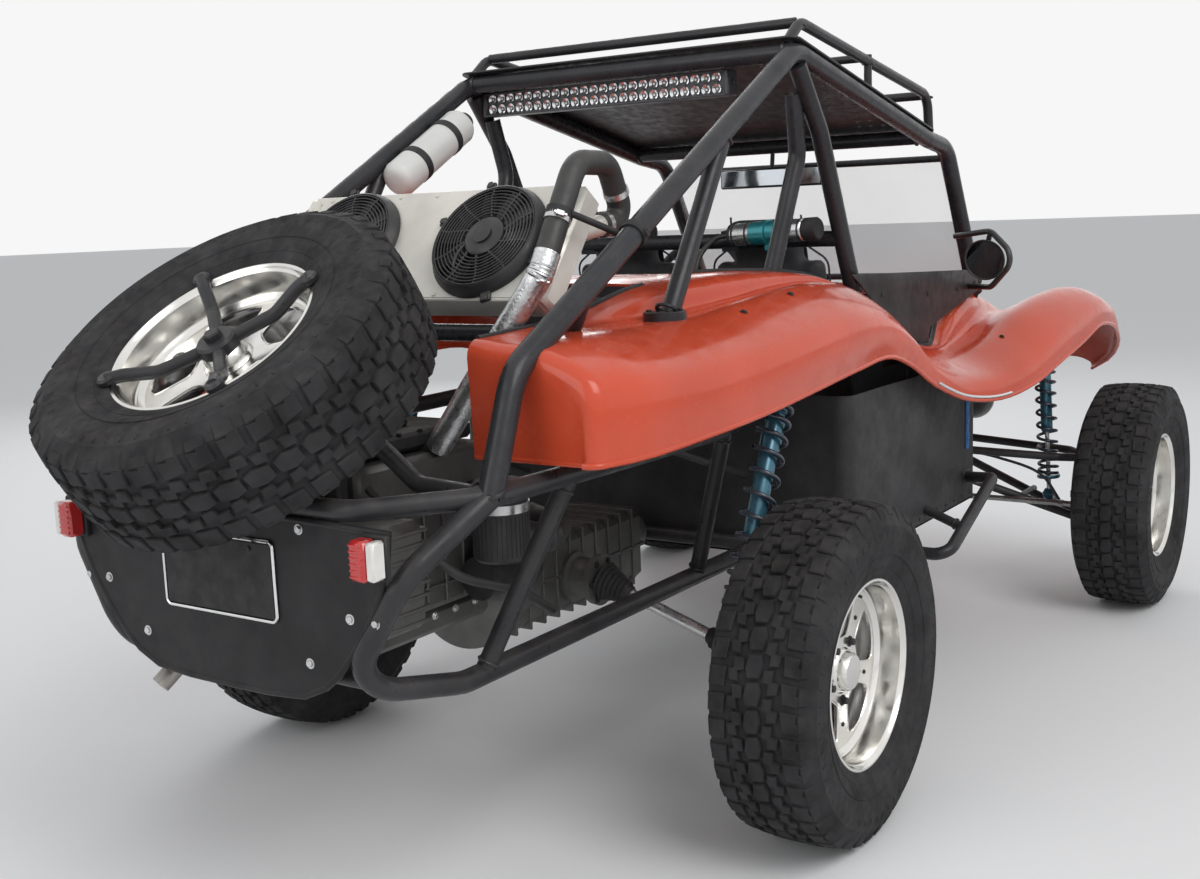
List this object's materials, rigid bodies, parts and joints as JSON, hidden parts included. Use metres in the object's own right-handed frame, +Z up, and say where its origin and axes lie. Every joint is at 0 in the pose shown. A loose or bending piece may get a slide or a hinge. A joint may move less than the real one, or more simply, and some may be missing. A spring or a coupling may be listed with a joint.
{
  "type": "dune buggy",
  "caption": "Open dune buggy: orange glass-fibre shell on a black tube frame, roof cage and rack, rear engine, tilted spare wheel, long-travel suspension.",
  "frame": {"origin": "on the floor under the middle of the bounding box", "axes": "+X forward, +Y to the driver's left, +Z up"},
  "size_m": [3.8819, 2.078, 1.833],
  "materials": {
    "tyre": "matt black rubber, aged",
    "wheel_alloy": "polished and machined",
    "cage_black": "gloss black powder coat",
    "chassis_black": "satin black",
    "body_orange": "gloss orange-red glass fibre",
    "tub_black": "textured black",
    "roof_black": "satin black sheet",
    "rack_black": "satin black",
    "lamp_bar": "black housing with clear lens",
    "seat_black": "black padded cloth",
    "dash_black": "satin",
    "column_black": "satin black",
    "wheel_grip": "black grip",
    "clear": "clear",
    "mirror_black": "black cup",
    "radiator_pale": "bare sheet, dusty",
    "fan_black": "black",
    "hose_black": "black with a metal-foil sleeve",
    "bottle_white": "off-white",
    "reservoir_silver": "satin with teal bracket",
    "engine_grey": "cast, oily",
    "intake_black": "black",
    "gearbox_grey": "cast, dirty",
    "exhaust_steel": "dull steel",
    "panel_black": "black sheet",
    "plate_frame": "chrome frame, dark blank plate",
    "lamp_red": "red lens",
    "carrier_black": "satin black",
    "bar_black": "satin black",
    "headlamp_black": "black cup",
    "arm_black": "satin black, dusty",
    "knuckle_grey": "dark casting",
    "rack_grey": "steel",
    "damper_blue": "teal blue",
    "spring_black": "dark blue-black"
  },
  "bodies": {
    "frame": {"spare_tyre": "tyre", "spare_rim": "wheel_alloy", "cage": "cage_black", "chassis": "chassis_black", "body_shell": "body_orange", "tub": "tub_black", "roof_panel": "roof_black", "roof_rack": "rack_black", "light_bar": "lamp_bar", "seats": "seat_black", "dash": "dash_black", "steering_column": "column_black", "windscreen_glass": "clear", "mirrors": "mirror_black", "radiator": "radiator_pale", "radiator_fans": "fan_black", "coolant_hose": "hose_black", "canister": "bottle_white", "reservoir": "reservoir_silver", "engine": "engine_grey", "intake": "intake_black", "transaxle": "gearbox_grey", "exhaust": "exhaust_steel", "tail_panel": "panel_black", "licence_plate": "plate_frame", "tail_lamps": "lamp_red", "spare_carrier": "carrier_black", "side_bars": "bar_black", "headlamps": "headlamp_black", "rear_arms": "arm_black", "front_arms": "arm_black", "dampers": "damper_blue", "springs": "spring_black"},
    "wheel_rear_left": {"tyre_rear_left": "tyre", "rim_rear_left": "wheel_alloy"},
    "wheel_rear_right": {"tyre_rear_right": "tyre", "rim_rear_right": "wheel_alloy"},
    "wheel_front_left": {"tyre_front_left": "tyre", "rim_front_left": "wheel_alloy"},
    "wheel_front_right": {"tyre_front_right": "tyre", "rim_front_right": "wheel_alloy"},
    "upright_left": {"knuckle_left": "knuckle_grey"},
    "upright_right": {"knuckle_right": "knuckle_grey"},
    "steering_wheel": {"steering_wheel": "wheel_grip"},
    "rack": {"tie_rods": "rack_grey"}
  },
  "joints": [
    {"name": "spin_rear_left", "type": "hinge", "parent": "frame", "child": "wheel_rear_left", "pos_m": [-0.67, 0.781, 0.375], "axis": [0, 1, 0], "continuous": true},
    {"name": "spin_rear_right", "type": "hinge", "parent": "frame", "child": "wheel_rear_right", "pos_m": [-0.67, -0.781, 0.375], "axis": [0, 1, 0], "continuous": true},
    {"name": "steer_left", "type": "hinge", "parent": "frame", "child": "upright_left", "pos_m": [1.496, 0.79, 0.375], "axis": [0, 0, 1], "range_deg": [-28, 28]},
    {"name": "steer_right", "type": "hinge", "parent": "frame", "child": "upright_right", "pos_m": [1.496, -0.79, 0.375], "axis": [0, 0, 1], "range_deg": [-28, 28]},
    {"name": "spin_front_left", "type": "hinge", "parent": "upright_left", "child": "wheel_front_left", "pos_m": [1.496, 0.917, 0.375], "axis": [0, 1, 0], "continuous": true},
    {"name": "spin_front_right", "type": "hinge", "parent": "upright_right", "child": "wheel_front_right", "pos_m": [1.496, -0.917, 0.375], "axis": [0, 1, 0], "continuous": true},
    {"name": "steering_wheel_turn", "type": "hinge", "parent": "frame", "child": "steering_wheel", "pos_m": [0.575, 0.235, 1.12], "axis": [-0.8829, 0, 0.4695], "range_deg": [-252, 252]},
    {"name": "rack_slide", "type": "slide", "parent": "frame", "child": "rack", "axis": [0, 1, 0], "range_m": [-0.06, 0.06]}
  ],
  "couplings": [
    {"joint": "steer_right", "follows": "steer_left", "ratio": 1},
    {"joint": "steering_wheel_turn", "follows": "steer_left", "ratio": 9},
    {"joint": "rack_slide", "follows": "steer_left", "m_per_rad": -0.12}
  ]
}
